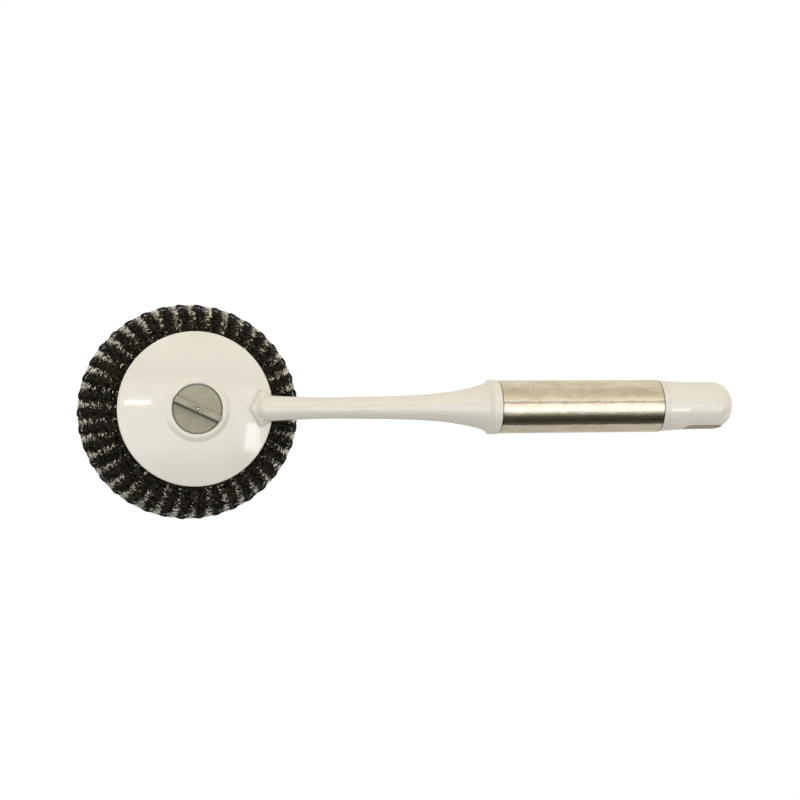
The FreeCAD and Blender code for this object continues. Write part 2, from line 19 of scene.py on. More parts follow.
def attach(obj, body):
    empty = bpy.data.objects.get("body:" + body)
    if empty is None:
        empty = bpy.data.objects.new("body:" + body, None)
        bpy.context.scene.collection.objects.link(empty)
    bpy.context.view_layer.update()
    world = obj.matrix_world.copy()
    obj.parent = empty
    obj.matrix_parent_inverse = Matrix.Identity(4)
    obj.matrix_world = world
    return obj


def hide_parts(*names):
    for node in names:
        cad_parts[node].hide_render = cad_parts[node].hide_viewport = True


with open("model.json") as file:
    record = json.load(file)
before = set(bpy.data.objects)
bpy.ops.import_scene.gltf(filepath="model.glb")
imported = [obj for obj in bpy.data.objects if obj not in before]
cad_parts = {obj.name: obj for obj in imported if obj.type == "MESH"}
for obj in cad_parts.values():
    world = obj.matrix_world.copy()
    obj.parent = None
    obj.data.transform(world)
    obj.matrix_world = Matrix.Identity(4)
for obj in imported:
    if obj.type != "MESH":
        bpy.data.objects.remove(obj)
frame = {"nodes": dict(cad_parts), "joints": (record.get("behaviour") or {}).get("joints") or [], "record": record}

MM = 0.001
HANDLE_PITCH = math.asin(0.18303)
IVORY_LIGHT = (0.70, 0.678, 0.628)
IVORY_DARK = (0.668, 0.645, 0.594)
IVORY_GLOSS = (0.10, 0.20)
IVORY_COAT = 0.5
# Colour of the painted shadow in the seams where the steel sleeve meets its collars.
SEAM_TONE = (0.05, 0.045, 0.032)
log = logging.getLogger("scourer_brush")


# ---- Arithmetic inside node trees --------------------------------------------------------------------

class Formula:
    """A number or a vector inside a node tree that takes part in ordinary arithmetic."""

    def __init__(self, tree: bpy.types.NodeTree, socket: bpy.types.NodeSocket) -> None:
        """Wrap an output socket.

        Args:
            tree: Node tree that the socket belongs to.
            socket: Output socket that carries the number.
        """
        self.tree = tree
        self.socket = socket

    def math(self, operation: str, *others: "Formula | float") -> "Formula":
        """Add one Math node.

        Args:
            operation: Name of the Math node's operation.
            others: Further operands, formulas or plain numbers.

        Returns:
            The node's result.
        """
        node = self.tree.nodes.new("ShaderNodeMath")
        node.operation = operation
        for slot, value in enumerate((self, *others)):
            plug(self.tree, node.inputs[slot], value)
        return Formula(self.tree, node.outputs[0])

    def __add__(self, other: "Formula | float") -> "Formula":
        """Sum."""
        return self.math("ADD", other)

    def __sub__(self, other: "Formula | float") -> "Formula":
        """Difference."""
        return self.math("SUBTRACT", other)

    def __rsub__(self, other: float) -> "Formula":
        """Difference with a plain number first."""
        return (self * -1.0) + other

    def __mul__(self, other: "Formula | float") -> "Formula":
        """Product."""
        return self.math("MULTIPLY", other)

    def __truediv__(self, other: "Formula | float") -> "Formula":
        """Quotient."""
        return self.math("DIVIDE", other)

    def __pow__(self, other: float) -> "Formula":
        """Power."""
        return self.math("POWER", other)

    def sin(self) -> "Formula":
        """Sine of an angle in radians."""
        return self.math("SINE")

    def cos(self) -> "Formula":
        """Cosine of an angle in radians."""
        return self.math("COSINE")


def plug(tree: bpy.types.NodeTree, slot: bpy.types.NodeSocket, value: "Formula | float") -> None:
    """Link a formula to an input socket, or set a plain number on it.

    Args:
        tree: Node tree of the socket.
        slot: Input socket.
        value: What it gets.
    """
    if isinstance(value, Formula):
        tree.links.new(value.socket, slot)
    else:
        slot.default_value = value


# ---- Directions of the brush -------------------------------------------------------------------------

def handle_run() -> Vector:
    """Direction of the handle's axis, from the neck to the end cap."""
    return Vector((math.cos(HANDLE_PITCH), 0.0, -math.sin(HANDLE_PITCH)))


def knob_axes() -> tuple[Vector, Vector, Vector]:
    """Where the knob stands.

    Returns:
        The knob's middle, its axis, and the direction square to that which leads along the brush.
    """
    turn = next(joint for joint in frame["joints"] if joint["name"] == "knob_turn")
    up = Vector(turn["axis"]).normalized()
    return Vector(turn["pos_m"]), up, Vector((up.z, 0.0, -up.x))


# ---- Finishes ----------------------------------------------------------------------------------------

class Shader:
    """Short names for the shader nodes that the finishes are made of."""

    def __init__(self, name: str) -> None:
        """Start an empty material with one principled shader.

        Args:
            name: Name of the material.
        """
        self.material = bpy.data.materials.new(name)
        self.material.use_nodes = True
        self.tree = self.material.node_tree
        self.tree.nodes.clear()
        self.principled = self.tree.nodes.new("ShaderNodeBsdfPrincipled")
        self.output = self.tree.nodes.new("ShaderNodeOutputMaterial")
        self.tree.links.new(self.principled.outputs[0], self.output.inputs[0])
        self.place = self.tree.nodes.new("ShaderNodeTexCoord").outputs["Object"]

    def set(self, **numbers: float | tuple) -> None:
        """Set plain values on the principled shader's own sockets.

        Args:
            numbers: Socket names in lower case with underscores, and their values.
        """
        for key, value in numbers.items():
            self.principled.inputs[SOCKETS[key]].default_value = value

    def turned(self, turn: tuple[float, float, float],
               scale: tuple[float, float, float]) -> bpy.types.NodeSocket:
        """Object coordinates after a turn and a stretch.

        Args:
            turn: Angles about X, Y and Z in radians.
            scale: Stretch along the turned axes.

        Returns:
            Socket with the coordinates.
        """
        turner = self.tree.nodes.new("ShaderNodeMapping")
        turner.vector_type = "TEXTURE"
        turner.inputs["Rotation"].default_value = turn
        stretcher = self.tree.nodes.new("ShaderNodeMapping")
        stretcher.inputs["Scale"].default_value = scale
        self.tree.links.new(self.place, turner.inputs["Vector"])
        self.tree.links.new(turner.outputs[0], stretcher.inputs["Vector"])
        return stretcher.outputs[0]

    def noise(self, scale: float, detail: float = 3.0, rough: float = 0.55,
              at: bpy.types.NodeSocket | None = None) -> Formula:
        """Cloudy noise around 0.5.

        Args:
            scale: Waves for each metre of the coordinates.
            detail: Octaves.
            rough: Weight of the finer octaves.
            at: Coordinates to read, the object's own if left out.

        Returns:
            The noise.
        """
        node = self.tree.nodes.new("ShaderNodeTexNoise")
        node.inputs["Scale"].default_value = scale
        node.inputs["Detail"].default_value = detail
        node.inputs["Roughness"].default_value = rough
        self.tree.links.new(at or self.place, node.inputs["Vector"])
        return Formula(self.tree, node.outputs["Fac"])

    def span(self, value: Formula, low: float, high: float, to_low: float, to_high: float) -> Formula:
        """Map a range on to another, without running past its ends.

        Args:
            value: Number to map.
            low: Start of the range it comes from.
            high: End of that range.
            to_low: Result at the start.
            to_high: Result at the end.

        Returns:
            The mapped number.
        """
        node = self.tree.nodes.new("ShaderNodeMapRange")
        plug(self.tree, node.inputs["Value"], value)
        ends = {"From Min": low, "From Max": high, "To Min": to_low, "To Max": to_high}
        for name, number in ends.items():
            node.inputs[name].default_value = number
        return Formula(self.tree, node.outputs[0])

    def attribute(self, name: str) -> Formula:
        """A number stored on the mesh.

        Args:
            name: Name of the attribute.

        Returns:
            Its value.
        """
        node = self.tree.nodes.new("ShaderNodeAttribute")
        node.attribute_name = name
        return Formula(self.tree, node.outputs["Fac"])

    def along(self, direction: Vector, origin: Vector) -> Formula:
        """Distance from a point, measured along a direction.

        Args:
            direction: Unit vector.
            origin: Where the distance is 0.

        Returns:
            The signed distance.
        """
        node = self.tree.nodes.new("ShaderNodeVectorMath")
        node.operation = "DOT_PRODUCT"
        node.inputs[1].default_value = direction
        self.tree.links.new(self.place, node.inputs[0])
        return Formula(self.tree, node.outputs["Value"]) - direction.dot(origin)

    def blend(self, share: Formula, first: "Formula | tuple", second: tuple) -> Formula:
        """Colour between two colours.

        Args:
            share: 0 for the first colour and 1 for the second.
            first: Linear red, green and blue, or a colour that varies.
            second: Linear red, green and blue.

        Returns:
            The colour.
        """
        node = self.tree.nodes.new("ShaderNodeMix")
        node.data_type = "RGBA"
        plug(self.tree, node.inputs[0], share)
        plug(self.tree, node.inputs[6], first if isinstance(first, Formula) else (*first, 1.0))
        node.inputs[7].default_value = (*second, 1.0)
        return Formula(self.tree, node.outputs[2])

    def colour(self, value: Formula) -> None:
        """Give the shader its base colour."""
        plug(self.tree, self.principled.inputs["Base Color"], value)

    def roughness(self, value: Formula) -> None:
        """Give the shader a roughness that varies."""
        plug(self.tree, self.principled.inputs["Roughness"], value)

    def metallic(self, value: Formula) -> None:
        """Give the shader a share of bare metal that varies."""
        plug(self.tree, self.principled.inputs["Metallic"], value)

    def bump(self, height: Formula, strength: float, distance: float) -> None:
        """Give the shader a fine relief.

        Args:
            height: Height of the relief, 0 to 1.
            strength: Weight of the relief.
            distance: Height of 1, in metres.
        """
        node = self.tree.nodes.new("ShaderNodeBump")
        node.inputs["Strength"].default_value = strength
        node.inputs["Distance"].default_value = distance
        plug(self.tree, node.inputs["Height"], height)
        self.tree.links.new(node.outputs[0], self.principled.inputs["Normal"])


SOCKETS = {
    "metallic": "Metallic", "specular": "Specular IOR Level", "ior": "IOR", "sheen": "Sheen Weight",
    "coat": "Coat Weight", "coat_roughness": "Coat Roughness",
}


@dataclass(frozen=True)
class SlotShade:
    """Painted shade inside the hanging slot, which goes right through the end cap."""

    length: float = 16.6 * MM
    height: float = 7.0 * MM
    full_inside: float = 0.1 * MM
    gone_outside: float = 0.15 * MM
    # Colour of the painted shade on the slot's walls.
    tone: tuple[float, float, float] = (0.30, 0.215, 0.135)

    def share(self, shader: Shader) -> Formula:
        """How much of the surface's colour is painted shade.

        Args:
            shader: Shader of the end cap.

        Returns:
            1 on the slot's walls and 0 outside.
        """
        mount = next(m for m in frame["record"]["mounts"] if m["name"] == "hang_slot")
        middle = Vector(mount["pos_m"])
        through = Vector(mount["axis"]).normalized()
        run = handle_run()
        over = shader.along(run, middle).math("ABSOLUTE") - (self.length - self.height) / 2
        beside = shader.along(run.cross(through), middle)
        apart = (over.math("MAXIMUM", 0.0) ** 2.0 + beside ** 2.0) ** 0.5
        wall = self.height / 2
        return shader.span(apart, wall - self.full_inside, wall + self.gone_outside, 1.0, 0.0)


@dataclass(frozen=True)
class RibFoot:
    """Painted shadow along the lower foot of the knob's finger rib, fading to painted shade across the knob."""

    angle: float = math.radians(-25.0)
    half_width: float = 1.25 * MM
    edge: tuple[float, float] = (-0.25 * MM, -0.05 * MM)
    line: tuple[float, float] = (0.5 * MM, 1.1 * MM)
    line_share: float = 0.72
    haze: tuple[float, float] = (0.5 * MM, 7.0 * MM)
    haze_share: tuple[float, float] = (0.26, 0.08)
    # Colour of the painted shadow and shade.
    tone: tuple[float, float, float] = (0.09, 0.082, 0.062)

    def share(self, shader: Shader) -> Formula:
        """How much of the surface's colour is painted shadow.

        Args:
            shader: Shader of the knob.

        Returns:
            1 at the rib's foot, fading out across the knob.
        """
        middle, up, along = knob_axes()
        across = along * math.sin(self.angle) - up.cross(along) * math.cos(self.angle)
        gap = shader.along(across, middle) - self.half_width
        # Painted shadow: a dark line at the rib's lower foot, then painted shade fading across the rest of that
        # side.
        near = shader.span(gap, *self.edge, 0.0, 1.0)
        line = shader.span(gap, *self.line, self.line_share, 0.0)
        return near * (line + shader.span(gap, *self.haze, *self.haze_share))


@dataclass(frozen=True)
class MouldedPlastic:
    """Injection-moulded plastic: cloudy colour, fine orange-peel relief and faint rub marks."""

    name: str
    light: tuple[float, float, float]
    dark: tuple[float, float, float]
    gloss_low: float
    gloss_high: float
    coat: float
    grain: float = 900.0
    grain_height: float = 0.01 * MM
    cloud: float = 60.0
    shade: "SlotShade | RibFoot | None" = None

    def make(self) -> bpy.types.Material:
        """Build the material.

        Returns:
            The material.
        """
        shader = Shader(self.name)
        shader.set(ior=1.5, coat=self.coat, coat_roughness=0.02)
        clouds = shader.noise(self.cloud, 4.0)
        specks = shader.noise(self.cloud * 25, 2.0)
        share = shader.span(clouds * 0.8 + specks * 0.2, 0.35, 0.65, 0.0, 1.0)
        plain = shader.blend(share, self.dark, self.light)
        if self.shade:
            plain = shader.blend(self.shade.share(shader), plain, self.shade.tone)
        shader.colour(plain)
        rubs = shader.noise(1.0, 5.0, 0.7, shader.turned((0.0, 0.0, 0.5), (90.0, 700.0, 300.0)))
        shader.roughness(shader.span(rubs, 0.35, 0.75, self.gloss_low, self.gloss_high))
        grain = shader.noise(self.grain, 3.0)
        shader.bump(grain * 0.7 + rubs * 0.3, 0.5, self.grain_height)
        return shader.material


@dataclass(frozen=True)
class BrushedSteel:
    """Stainless steel brushed along a direction, with cloudy stains and fine scratches."""

    name: str
    light: tuple[float, float, float]
    dark: tuple[float, float, float]
    rough_low: float
    rough_high: float
    turn: tuple[float, float, float] = (0.0, 0.0, 0.0)
    stretch: tuple[float, float, float] = (40.0, 2500.0, 2500.0)
    line_height: float = 0.004 * MM
    ripple_height: float = 0.1 * MM
    tube: str = ""

    def make(self) -> bpy.types.Material:
        """Build the material.

        Returns:
            The material.
        """
        shader = Shader(self.name)
        shader.set(metallic=1.0)
        stains = shader.noise(1.0, 6.0, 0.65, shader.turned(self.turn, (110.0, 260.0, 260.0)))
        lines = shader.noise(1.0, 4.0, 0.7, shader.turned(self.turn, self.stretch))
        ripple = shader.noise(1.0, 4.0, 0.7, shader.turned(self.turn, (300.0, 420.0, 420.0)))
        shade = shader.span(stains * 0.85 + lines * 0.15, 0.36, 0.64, 0.0, 1.0)
        plain = shader.blend(shade, self.dark, self.light)
        if self.tube:
            # Painted shadow at both ends of the tube, where it meets the collars.
            plain = shader.blend(self.ends(shader), plain, SEAM_TONE)
        shader.colour(plain)
        worn = stains * 0.5 + lines * 0.5
        shader.roughness(shader.span(worn, 0.35, 0.65, self.rough_low, self.rough_high))
        shader.bump(lines * (self.line_height / self.ripple_height) + ripple, 1.0, self.ripple_height)
        return shader.material

    def ends(self, shader: Shader) -> Formula:
        """Painted shadow in the seams where the ends of the tube meet the collars.

        Args:
            shader: Shader of the tube.

        Returns:
            1 in the seams and 0 between them.
        """
        run = handle_run()
        reach = [run.dot(vertex.co) for vertex in frame["nodes"][self.tube].data.vertices]
        middle = (min(reach) + max(reach)) / 2
        half = (max(reach) - min(reach)) / 2
        out = shader.along(run, run * middle).math("ABSOLUTE")
        return shader.span(out, half - 0.45 * MM, half - 0.2 * MM, 0.0, 0.85)


@dataclass(frozen=True)
class KnitWire:
    """Hard-drawn scourer wire: painted shade keeps it mostly dark, and painted glints make bright runs along it.
    """

    name: str
    # Colours of the painted shade, near black to dark grey, and of the painted glints.
    black: tuple[float, float, float] = (0.0015, 0.0013, 0.001)
    dark: tuple[float, float, float] = (0.072, 0.064, 0.046)
    bright: tuple[float, float, float] = (0.93, 0.89, 0.78)

    def make(self) -> bpy.types.Material:
        """Build the material.

        Returns:
            The material.
        """
        shader = Shader(self.name)
        shader.set(specular=0.01)
        flecks = shader.noise(1500.0, 2.0)
        # Painted glints: where the glint attribute is high, the colour turns bright and partly metallic.
        share = shader.span(shader.attribute("glint") + flecks * 0.3, 0.60, 0.80, 0.0, 1.0)
        # Painted shade: the rest of the wire mottles between near black and dark grey.
        soot = shader.span(shader.noise(900.0, 3.0), 0.42, 0.68, 0.0, 1.0)
        dull = shader.blend(soot, self.black, self.dark)
        shader.colour(shader.blend(share, dull, self.bright))
        shader.metallic(share * 0.75)
        shader.roughness(shader.span(flecks, 0.35, 0.65, 0.25, 0.45))
        shader.bump(flecks, 0.4, 0.03 * MM)
        return shader.material


@dataclass(frozen=True)
class Rubber:
    """Matt black rubber with a dusty bloom."""

    name: str
    clean: tuple[float, float, float] = (0.012, 0.012, 0.012)
    dusty: tuple[float, float, float] = (0.035, 0.034, 0.032)

    def make(self) -> bpy.types.Material:
        """Build the material.

        Returns:
            The material.
        """
        shader = Shader(self.name)
        shader.set(ior=1.45, sheen=0.2)
        bloom = shader.noise(400.0, 4.0)
        shader.colour(shader.blend(shader.span(bloom, 0.3, 0.7, 0.0, 1.0), self.clean, self.dusty))
        shader.roughness(shader.span(bloom, 0.3, 0.7, 0.55, 0.8))
        shader.bump(shader.noise(1500.0, 2.0), 0.4, 0.02 * MM)
        return shader.material


BUILT: dict[str, bpy.types.Material] = {}


class Finish(Enum):
    """The finishes of the brush."""

    IVORY = MouldedPlastic("ivory_plastic", IVORY_LIGHT, IVORY_DARK, *IVORY_GLOSS, IVORY_COAT)
    SLOTTED = MouldedPlastic("ivory_plastic", IVORY_LIGHT, IVORY_DARK, *IVORY_GLOSS, IVORY_COAT,
                             shade=SlotShade())
    GREY = MouldedPlastic("grey_plastic", (0.365, 0.345, 0.262), (0.285, 0.272, 0.205), 0.42, 0.6, 0.0,
                          1500.0, 0.03 * MM, 240.0, RibFoot())
    ACETAL = MouldedPlastic("guide_plastic", (0.70, 0.69, 0.64), (0.64, 0.63, 0.58), 0.35, 0.5, 0.0)
    SLEEVE = BrushedSteel("sleeve_steel", (0.71, 0.665, 0.56), (0.54, 0.49, 0.385), 0.02, 0.06,
                          (0.0, HANDLE_PITCH, 0.0), (2500.0, 90.0, 90.0), 0.01 * MM, 0.07 * MM,
                          "steel_sleeve")
    STAMPED = BrushedSteel("claw_steel", (0.62, 0.60, 0.55), (0.48, 0.46, 0.42), 0.25, 0.4)
    TURNED = BrushedSteel("fastener_steel", (0.70, 0.68, 0.62), (0.58, 0.56, 0.50), 0.16, 0.3,
                          (0.0, 0.0, 0.0), (900.0, 900.0, 900.0))
    SPRING = BrushedSteel("spring_steel", (0.45, 0.44, 0.41), (0.36, 0.35, 0.32), 0.3, 0.45)
    RUBBER = Rubber("seal_rubber")
    WIRE = KnitWire("scourer_wire")

    @property
    def material(self) -> bpy.types.Material:
        """The finish's material, built on first use.

        Returns:
            The material.
        """
        if self.name not in BUILT:
            BUILT[self.name] = self.value.make()
        return BUILT[self.name]


def dress(node: str, finish: Finish) -> None:
    """Give a carried-over node its finish.

    Args:
        node: Name of the node.
        finish: What it is made of.
    """
    slots = frame["nodes"][node].data.materials
    slots.clear()
    slots.append(finish.material)
    log.info("%s: %s", node, finish.value.name)


# ---- Where the head stands ---------------------------------------------------------------------------

@dataclass(frozen=True)
class HeadPlace:
    """Frame of the leaning head: the origin is in the disc's lower face, +Z leaves through the knob."""

    knob_level: float = 6.0 * MM

    def matrix(self) -> Matrix:
        """Transform from the head's frame to the brush's.

        Returns:
            The transform.
        """
        middle, up, along = knob_axes()
        matrix = Matrix((along, up.cross(along), up)).transposed().to_4x4()
        matrix.translation = middle - up * self.knob_level
        return matrix


# ---- The knitted ring --------------------------------------------------------------------------------

@dataclass(frozen=True)
class Courses:
    """A run of neighbouring courses of the knitted ring, from one angle of its section to another."""

    name: str
    first_angle: float
    last_angle: float
    count: int
    depth: float = 0.0
    sides: int = 4
    points: int = 20
    seed: float = 0.0


class Jitter(Enum):
    """Noises that set wires apart: waves round the ring, start of the noise, and step between courses."""

    FINE = (26.0, 3.0, 0.37)
    BROAD = (5.0, 71.0, 0.37)
    PATCH = (9.0, 140.0, 0.37)
    SPECK = (44.0, 210.0, 1.9)


@dataclass(frozen=True)
class Hand:
    """How loosely the wire is knitted, and where it gets painted glints."""

    wander: float = 1.1
    fine_reach: float = 0.9 * MM
    broad_reach: float = 0.5 * MM
    fine_lift: float = 0.55 * MM
    crest_power: float = 0.6
    ridge_sink: float = 0.55
    top_fade: float = 2.2
    fine_tilt: float = 2.4
    loop_tilt: float = 0.5
    rim_width: float = 0.9
    valley_power: float = 2.2
    rim_glint: float = 0.52
    plain_glint: float = 0.14
    patch_glint: float = 1.6
    speck_glint: float = 2.5


class KnittingTree:
    """Node tree that knits one run of courses. Its inputs are the run's angles, count and sizes."""

    INPUTS = {
        "First angle": "Float", "Last angle": "Float", "Courses": "Int", "Depth": "Float",
        "Points": "Int", "Sides": "Int", "Seed": "Float", "Wire width": "Float",
        "Wire thickness": "Float", "Wire": "Material",
    }

    def __init__(self, ring: "KnittedRing", hand: Hand) -> None:
        """Build the whole tree.

        Args:
            ring: Ring whose sizes every run shares.
            hand: How loosely it is knitted.
        """
        self.ring = ring
        self.hand = hand
        self.tree = bpy.data.node_groups.new("knitted_courses", "GeometryNodeTree")
        self.tree.interface.new_socket("Geometry", in_out="INPUT", socket_type="NodeSocketGeometry")
        for name, kind in self.INPUTS.items():
            self.tree.interface.new_socket(name, in_out="INPUT", socket_type=f"NodeSocket{kind}")
        self.tree.interface.new_socket("Geometry", in_out="OUTPUT", socket_type="NodeSocketGeometry")
        self.given = self.tree.nodes.new("NodeGroupInput")
        number = self.add("GeometryNodeInputNamedAttribute", {"Name": "course"}, data_type="FLOAT")
        self.course = Formula(self.tree, number.outputs["Attribute"])
        index = Formula(self.tree, self.add("GeometryNodeSplineParameter", {}).outputs["Index"])
        self.around = index / (self.number("Points") * float(ring.wales)) * math.tau
        self.fine = self.jitter(Jitter.FINE)
        self.broad = self.jitter(Jitter.BROAD)
        self.wave = self.around * float(ring.wales) + self.broad * hand.wander
        self.crest = self.wave.cos() * 0.5 + 0.5
        share = self.course / (self.number("Courses") - 1.0)
        first = self.number("First angle")
        self.section = first + (self.number("Last angle") - first) * share
        mesh = self.sweep(self.shine(self.lay(self.courses())))
        self.add("NodeGroupOutput", {"Geometry": mesh})

    def add(self, kind: str, inputs: dict[str, object], **options: str) -> bpy.types.Node:
        """Add a node.

        Args:
            kind: Type of the node.
            inputs: What its inputs get, by name: a socket, a formula or a plain value.
            options: The node's own settings.

        Returns:
            The node.
        """
        node = self.tree.nodes.new(kind)
        for option, value in options.items():
            setattr(node, option, value)
        for name, value in inputs.items():
            if isinstance(value, bpy.types.NodeSocket):
                self.tree.links.new(value, node.inputs[name])
            else:
                plug(self.tree, node.inputs[name], value)
        return node

    def number(self, name: str) -> Formula:
        """One of the tree's inputs."""
        return Formula(self.tree, self.given.outputs[name])

    def vector(self, x: Formula, y: Formula, z: "Formula | float") -> bpy.types.NodeSocket:
        """Vector made of three numbers."""
        return self.add("ShaderNodeCombineXYZ", {"X": x, "Y": y, "Z": z}).outputs[0]

    def store(self, name: str, wires: bpy.types.NodeSocket,
              value: "Formula | bpy.types.NodeSocket") -> bpy.types.NodeSocket:
        """Store a number on every point of the wires.

        Args:
            name: Name of the attribute.
            wires: The wires.
            value: The number.

        Returns:
            The wires with the number.
        """
        inputs = {"Geometry": wires, "Name": name, "Value": value}
        return self.add("GeometryNodeStoreNamedAttribute", inputs, data_type="FLOAT",
                        domain="POINT").outputs["Geometry"]

    def jitter(self, kind: Jitter) -> Formula:
        """Noise around zero that differs from course to course and runs smoothly along the wire.

        Args:
            kind: Which noise.

        Returns:
            The noise.
        """
        waves, start, step = kind.value
        layer = self.course * step + self.number("Seed") + start
        spot = self.vector(self.around.cos() * waves, self.around.sin() * waves, layer)
        noise_node = self.add("ShaderNodeTexNoise", {"Vector": spot, "Scale": 1.0, "Detail": 2.0})
        return Formula(self.tree, noise_node.outputs["Fac"]) - 0.5

    def courses(self) -> bpy.types.NodeSocket:
        """Closed wires that carry the numbers of their courses.

        Returns:
            The wires, all in one place.
        """
        points = self.number("Points") * float(self.ring.wales)
        circle = self.add("GeometryNodeCurvePrimitiveCircle", {"Resolution": points})
        inputs = {"Geometry": circle.outputs["Curve"], "Amount": self.given.outputs["Courses"]}
        copies = self.add("GeometryNodeDuplicateElements", inputs, domain="SPLINE")
        return self.store("course", copies.outputs["Geometry"], copies.outputs["Duplicate Index"])

    def lay(self, wires: bpy.types.NodeSocket) -> bpy.types.NodeSocket:
        """Lay every wire along its course, in loops that cross the section to and fro.

        Args:
            wires: The wires, all in one place.

        Returns:
            The wires in the ring.
        """
        ring, hand = self.ring, self.hand
        fade = ((self.section.sin() * -1.0 + 1.0) * hand.top_fade).math("MINIMUM", 1.0)
        reach = self.wave.cos() * ring.loop_reach + self.fine * hand.fine_reach
        reach = reach + self.broad * hand.broad_reach
        angle = self.section + reach / (ring.band + ring.ridge)
        lift = (self.crest ** hand.crest_power) * ring.ridge * fade
        lift = lift - self.number("Depth") - ring.ridge * hand.ridge_sink
        lift = lift + (self.wave * 2.0).cos() * ring.interlock + self.fine * hand.fine_lift
        turn = self.around + (self.wave * 2.0).sin() * (ring.loop_lean / ring.wales)
        radius = angle.cos() * (lift + ring.band) + (ring.outer_radius - ring.band)
        height = angle.sin() * (lift + ring.half_height) + ring.level
        spot = self.vector(radius * turn.cos(), radius * turn.sin(), height)
        laid = self.add("GeometryNodeSetPosition", {"Geometry": wires, "Position": spot})
        return laid.outputs["Geometry"]

    def shine(self, wires: bpy.types.NodeSocket) -> bpy.types.NodeSocket:
        """Mark where the wire gets painted glints: most of all between the ridges, round the ring's outside.

        Args:
            wires: The wires in the ring.

        Returns:
            The wires with the attribute glint.
        """
        hand = self.hand
        rim = (self.section * hand.rim_width).cos().math("MAXIMUM", 0.0) ** 2.0
        valley = (1.0 - self.crest) ** hand.valley_power
        patches = self.jitter(Jitter.PATCH) * hand.patch_glint + 1.0
        favoured = valley * (rim * hand.rim_glint + hand.plain_glint) * patches
        return self.store("glint", wires, self.jitter(Jitter.SPECK) * hand.speck_glint + favoured)

    def sweep(self, wires: bpy.types.NodeSocket) -> bpy.types.NodeSocket:
        """Give the wires their flat section.

        Args:
            wires: The wires in the ring.

        Returns:
            The finished mesh.
        """
        upright = self.add("GeometryNodeSetCurveNormal", {"Curve": wires}, mode="Z_UP")
        tilt = self.section * -1.0 + self.fine * self.hand.fine_tilt
        tilt = tilt + (self.wave * 2.0).sin() * self.hand.loop_tilt
        tilted = self.add("GeometryNodeSetCurveTilt", {"Curve": upright.outputs["Curve"], "Tilt": tilt})
        profile = self.add("GeometryNodeCurvePrimitiveCircle",
                           {"Resolution": self.number("Sides"), "Radius": 1.0})
        size = self.vector(self.number("Wire thickness") * 0.5, self.number("Wire width") * 0.5, 1.0)
        flat = self.add("GeometryNodeTransform", {"Geometry": profile.outputs["Curve"], "Scale": size})
        wire = self.add("GeometryNodeCurveToMesh",
                        {"Curve": tilted.outputs["Curve"], "Profile Curve": flat.outputs["Geometry"]})
        real = self.add("GeometryNodeRealizeInstances", {"Geometry": wire.outputs["Mesh"]})
        dressed = self.add("GeometryNodeSetMaterial",
                           {"Geometry": real.outputs["Geometry"], "Material": self.given.outputs["Wire"]})
        return dressed.outputs["Geometry"]


